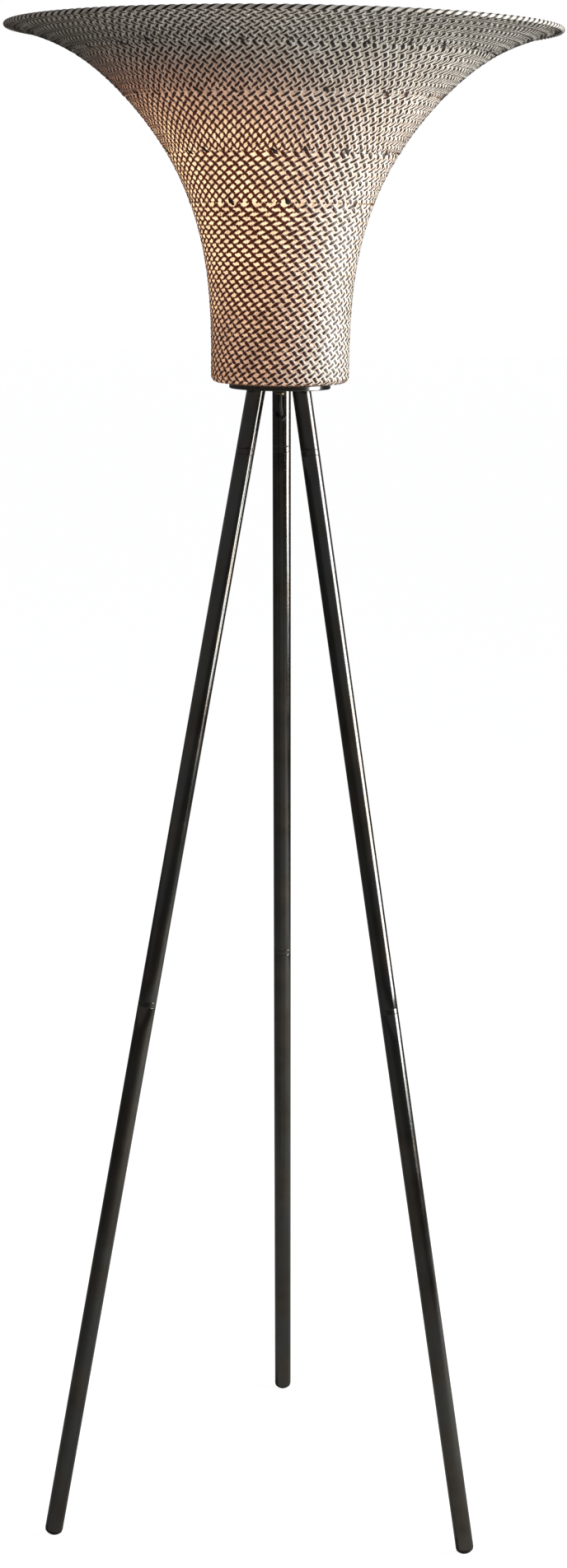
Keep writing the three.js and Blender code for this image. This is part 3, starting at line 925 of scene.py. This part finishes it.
def rim_ribs():
    """Two spirals round the ring; each section lies square to its own slant on the wire."""
    steps = rim_turns * 14
    along = 2 * np.pi * np.arange(steps) / steps
    start = np.array([0, np.pi])
    turn = rim_turns * along[None, :] + start[:, None]
    slant = math.atan(rib_path_radius / (ring_radius / rim_turns))
    across, proud = rib_section(np.full(steps, rim_rib_width), rim_rib_thickness)
    wire_turn = turn[..., None] + across[None] * math.cos(slant) / rib_path_radius
    axis_turn = along[None, :, None] - across[None] * math.sin(slant) / ring_radius
    points = ring_points(
        ring_radius, ring_level, axis_turn, wire_turn, rim_rib_radius + proud[None]
    )
    return section_mesh("rim_ribs", points, "strand_rib", "shade", looped=True)


for piece in (rim_winding(), rim_ribs()):
    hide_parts("rim_binding")
print("rim turns:", rim_turns)

# %% [markdown]
# ## Hoops inside the shade
#
# Four thin wire rings hold the trumpet's curve. Each is a ring of round wire where the packed
# model has it, with enough sides to look round from above.

# %% hoops


def wire_hoop(node_name):
    """A ring: a circle of the wire's radius carried round a circle of the hoop's radius."""
    low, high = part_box(node_name)
    wire_radius = (high.z - low.z) / 2
    hoop = high.x - wire_radius
    axis_turn, wire_turn = ring_angles(180, 12)
    points = ring_points(hoop, (low.z + high.z) / 2, axis_turn, wire_turn, wire_radius)
    piece = section_mesh(node_name + "_wire", points[None], "black_wire", "shade", looped=True)
    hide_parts(node_name)
    return piece


hoops = [wire_hoop(name) for name in hoop_names]
print("hoops:", len(hoops))

# %% [markdown]
# ## The three legs
#
# Each leg is a straight tube in three lengths, screwed together at two thin collars, with a domed
# glide at its foot. A tube is a circle carried down its axis, drawn in a little at its ends so
# that the joints catch the light. The slope of the axis comes from two boxes: the same end of two
# lengths of one leg differ by the same amount up as out as the whole leg does.

# %% leg axis
lower_low, lower_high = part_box("leg_lower_rear")
middle_low, middle_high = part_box("leg_middle_rear")
plate_low, plate_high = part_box("mounting_plate")
tube_radius = lower_high.x
leg_tilt = math.atan2(lower_high.y - middle_high.y, middle_low.z - lower_low.z)
end_drop = tube_radius * math.sin(leg_tilt)
foot_level = lower_low.z + end_drop
foot_out = lower_high.y - tube_radius * math.cos(leg_tilt)
leg_azimuths = {"rear": 90, "left": 210, "right": 330}


def leg_point(azimuth, level):
    """The point on a leg's axis at a height: it moves out from the axis as it goes down."""
    out = foot_out - (level - foot_level) * math.tan(leg_tilt)
    return np.array(
        [
            out * math.cos(math.radians(azimuth)),
            out * math.sin(math.radians(azimuth)),
            level,
        ]
    )


print("legs lean", round(math.degrees(leg_tilt), 2), "degrees; tube", round(tube_radius * 2000, 1), "mm")

# %% turned pieces


def turned_points(along, radius, start, direction, sides):
    """Circles of the given radii, set at the given distances along a straight axis."""
    direction = direction / np.linalg.norm(direction)
    helper = np.array([0.0, 0.0, 1.0]) if abs(direction[2]) < 0.9 else np.array([1.0, 0.0, 0.0])
    first = np.cross(direction, helper)
    first = first / np.linalg.norm(first)
    second = np.cross(direction, first)
    turn = 2 * np.pi * np.arange(sides) / sides
    spokes = np.cos(turn)[:, None] * first + np.sin(turn)[:, None] * second
    return start + along[:, None, None] * direction + radius[:, None, None] * spokes


def bar_outline(length, radius, edge, lengthwise=24):
    """Distances and radii of a round bar: flat ends, quarter-round edges, straight between."""
    turn = np.linspace(0, np.pi / 2, 5)
    start_along = edge - edge * np.cos(turn)
    start_radius = radius - edge + edge * np.sin(turn)
    straight = np.linspace(edge, length - edge, lengthwise)[1:-1]
    along = np.concatenate([[0], start_along, straight, length - start_along[::-1], [length]])
    inner = [radius * 0.3]
    radii = np.concatenate(
        [inner, start_radius, np.full(len(straight), radius), start_radius[::-1], inner]
    )
    return along, radii


def round_bar(name, start, end, radius, edge, finish_name, body, sides=64):
    """A round bar from one point to another."""
    start, end = np.array(start, float), np.array(end, float)
    along, radii = bar_outline(np.linalg.norm(end - start), radius, edge)
    points = turned_points(along, radii, start, end - start, sides)
    return section_mesh(name, points[None], finish_name, body)


# %% tubes and collars
end_round = 0.0005


def end_levels(node_name):
    """The heights of a leaning tube's two end centres, from its box."""
    low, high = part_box(node_name)
    return high.z - end_drop, low.z + end_drop


def leg_lengths(which, azimuth):
    """The stub, middle and lower tubes, and the collars that fill the spaces between them."""
    stub_top = (plate_low.z + plate_high.z) / 2
    stub_bottom = end_levels("leg_stub_" + which)[1]
    middle_top, middle_bottom = end_levels("leg_middle_" + which)
    lower_top, lower_bottom = end_levels("leg_lower_" + which)
    spans = (
        ("leg_stub_" + which, stub_top, stub_bottom),
        ("leg_middle_" + which, middle_top, middle_bottom),
        ("leg_lower_" + which, lower_top, lower_bottom),
    )
    for node_name, top, bottom in spans:
        piece = round_bar(
            node_name + "_tube", leg_point(azimuth, top), leg_point(azimuth, bottom),
            tube_radius, end_round, "bronze_finish", "stand",
        )
        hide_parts(node_name)
    collars = (
        ("upper_coupling_" + which, stub_bottom, middle_top),
        ("lower_coupling_" + which, middle_bottom, lower_top),
    )
    for node_name, top, bottom in collars:
        piece = round_bar(
            node_name + "_collar", leg_point(azimuth, top), leg_point(azimuth, bottom),
            tube_radius, end_round, "bronze_finish", "stand",
        )
        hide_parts(node_name)


for which, azimuth in leg_azimuths.items():
    leg_lengths(which, azimuth)
print("tubes and collars made")

# %% [markdown]
# ## Feet, welds and plate
#
# The glide is a shallow dome that takes the floor at any lean, so it is a slice of a ball whose
# lowest point is the floor. Where a stub meets the plate there is a small bead of weld, a ring
# that leans with the tube. The plate is turned, with its edge slightly rounded.

# %% feet
glide_dome = 0.0053
glide_shoulder = 0.002
glide_radius = tube_radius - 0.0006
bead_radius, bead_ripple, bead_ripples, bead_clear = 0.0014, 0.00015, 24, 0.0002


def glide(which, azimuth):
    """A short cylinder under the tube, ending in a slice of a ball that touches the floor."""
    ball = (glide_radius**2 + glide_dome**2) / (2 * glide_dome)
    top = leg_point(azimuth, foot_level)
    down = leg_point(azimuth, 0.0) - top
    widest = math.asin(glide_radius / ball)
    turn = np.linspace(widest, 0.02, 14)
    ball_centre = glide_shoulder + glide_dome - ball
    inside_tube = -0.001
    along = np.concatenate([[inside_tube, 0.0], ball_centre + ball * np.cos(turn)])
    radii = np.concatenate([[glide_radius, glide_radius], ball * np.sin(turn)])
    points = turned_points(along, radii, top, down, 48)
    piece = section_mesh("glide_dome_" + which, points[None], "black_rubber", "stand")
    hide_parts("foot_glide_" + which)


def weld_bead(which, azimuth):
    """A thin ring where the leaning tube meets the underside of the plate, gently rippled."""
    centre = leg_point(azimuth, plate_low.z)
    out = np.array([math.cos(math.radians(azimuth)), math.sin(math.radians(azimuth)), 0.0])
    side = np.array([-out[1], out[0], 0.0])
    round_tube, round_bead = ring_angles(96, 10)
    bead = bead_radius + bead_ripple * np.sin(round_tube * bead_ripples)
    reach = tube_radius + bead_clear + bead * np.cos(round_bead)
    points = (
        centre
        + (reach * np.cos(round_tube) / math.cos(leg_tilt))[..., None] * out
        + (reach * np.sin(round_tube))[..., None] * side
        + (bead * np.sin(round_bead))[..., None] * np.array([0.0, 0.0, 1.0])
    )
    piece = section_mesh("weld_bead_" + which, points[None], "bronze_finish", "stand", looped=True)


for which, azimuth in leg_azimuths.items():
    glide(which, azimuth)
    weld_bead(which, azimuth)

# %% plate
plate_radius = plate_high.x


def turned_plate():
    """A flat disc with quarter-round edges, turned about the upright axis."""
    return round_bar(
        "turned_plate", (0, 0, plate_high.z), (0, 0, plate_low.z), plate_radius, 0.0012,
        "bronze_finish", "stand", sides=128,
    )


plate = turned_plate()
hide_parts("mounting_plate")
print("plate of", round(plate_radius * 2000), "mm")

# %% [markdown]
# ## The bulb
#
# A lit bulb is the brightest thing inside the shade. Its glass is a ball that runs down into a
# narrow neck: the radius is whichever is larger, the ball's or the neck's, eased where they meet.

# %% bulb glass
glass_low, glass_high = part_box("bulb_glass")
globe_radius = glass_high.x


def bulb_glass():
    """Circles stacked up the bulb: ball and neck radii joined with a soft maximum."""
    centre = glass_high.z - globe_radius
    turn = np.linspace(0.03, np.pi - 0.02, 60)
    level = centre - globe_radius * np.cos(turn)
    stretch = (glass_high.z - glass_low.z) / (level[-1] - level[0])
    level = glass_low.z + (level - level[0]) * stretch
    ball = np.sqrt(np.clip(globe_radius**2 - (level - centre) ** 2, 1e-9, None))
    neck = np.full_like(level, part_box("bulb_cap")[1].x * 0.93)
    neck = np.where(level > centre, 0.0005, neck)
    softness = 0.004
    eased = softness * np.exp(-(((ball - neck) / softness) ** 2))
    radii = np.maximum(ball, neck) + eased * (level < centre)
    upright = np.array([0, 0, 1.0])
    points = turned_points(level - level[0], radii, level[0] * upright, upright, 64)
    piece = section_mesh("lit_globe", points[None], "frosted_glass", "bulb")
    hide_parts("bulb_glass")


bulb_glass()
print("globe of", round(globe_radius * 2000), "mm")

# %% [markdown]
# ## Floor and light
#
# A pale floor, a tall soft lamp to the right that draws the narrow line down the tubes, two weak
# fills from the front that make no reflections, and a warm point over the bulb that lights the
# inside of the weave. The sky is white to the eye and dim as a light, as in a studio whose walls
# are far away.

# %% floor


def make_floor():
    """A wide sheet under the feet; brighter to the eye than as a source of light."""
    size = 30.0
    mesh = bpy.data.meshes.new("floor")
    mesh.from_pydata(
        [(-size, -size, 0), (size, -size, 0), (size, size, 0), (-size, size, 0)], [], [(0, 1, 2, 3)]
    )
    floor = bpy.data.objects.new("floor", mesh)
    bpy.context.scene.collection.objects.link(floor)
    material, tree, shader = new_material("pale_floor")
    wire(tree, shader, {"Base Color": (0.30, 0.30, 0.30, 1), "Roughness": 0.8})
    wire(tree, shader, {"Emission Color": (1, 1, 1, 1), "Emission Strength": 0.93})
    dim = node(tree, "ShaderNodeBsdfDiffuse", {"Color": (0.33, 0.33, 0.32, 1)})
    seen = node(tree, "ShaderNodeLightPath").outputs["Is Camera Ray"]
    mixed = node(
        tree, "ShaderNodeMixShader", {0: seen, 1: dim.outputs[0], 2: shader.outputs[0]}
    )
    tree.links.new(mixed.outputs[0], tree.nodes["Material Output"].inputs["Surface"])
    mesh.materials.append(material)
    return floor


floor = make_floor()

# %% sky and lamps


def make_sky(strength):
    """White where the camera looks, dim where it lights."""
    world = bpy.data.worlds.new("studio")
    world.use_nodes = True
    tree = world.node_tree
    dim = tree.nodes["Background"]
    dim.inputs["Color"].default_value = (0.95, 0.97, 1.0, 1)
    dim.inputs["Strength"].default_value = strength
    white = node(tree, "ShaderNodeBackground", {"Color": (1, 1, 1, 1), "Strength": 1.0})
    seen = node(tree, "ShaderNodeLightPath").outputs["Is Camera Ray"]
    mixed = node(tree, "ShaderNodeMixShader", {0: seen, 1: dim.outputs[0], 2: white.outputs[0]})
    tree.links.new(mixed.outputs[0], tree.nodes["World Output"].inputs["Surface"])
    bpy.context.scene.world = world


def soft_lamp(name, place, aim, width, height, power):
    """A rectangular lamp at a place, facing a point."""
    data = bpy.data.lights.new(name, "AREA")
    data.shape = "RECTANGLE"
    data.size, data.size_y = width, height
    data.energy = power
    lamp = bpy.data.objects.new(name, data)
    lamp.location = place
    lamp.rotation_mode = "QUATERNION"
    lamp.rotation_quaternion = (Vector(aim) - Vector(place)).to_track_quat("-Z", "Y")
    bpy.context.scene.collection.objects.link(lamp)
    return lamp


make_sky(0.18)
soft_lamp("tall_right", (2.1, 0.0, 1.5), (0, 0, 1.3), 1.2, 2.1, 95)
for fill in (
    soft_lamp("front_right", (1.7, -2.3, 1.3), (0, 0, 1.5), 1.0, 1.4, 9),
    soft_lamp("front_left", (-2.3, -2.5, 0.9), (0, 0, 1.75), 1.2, 1.2, 6),
):
    fill.visible_glossy = False
glow_lamp = bpy.data.lights.new("over_the_bulb", "POINT")
glow_lamp.energy, glow_lamp.color = 0.35, (1.0, 0.72, 0.42)
glow_lamp.shadow_soft_size = 0.02
glow_place = bpy.data.objects.new("over_the_bulb", glow_lamp)
glow_place.location = (0, 0, glass_high.z + 0.05)
bpy.context.scene.collection.objects.link(glow_place)
bpy.context.scene.view_settings.view_transform = "Standard"
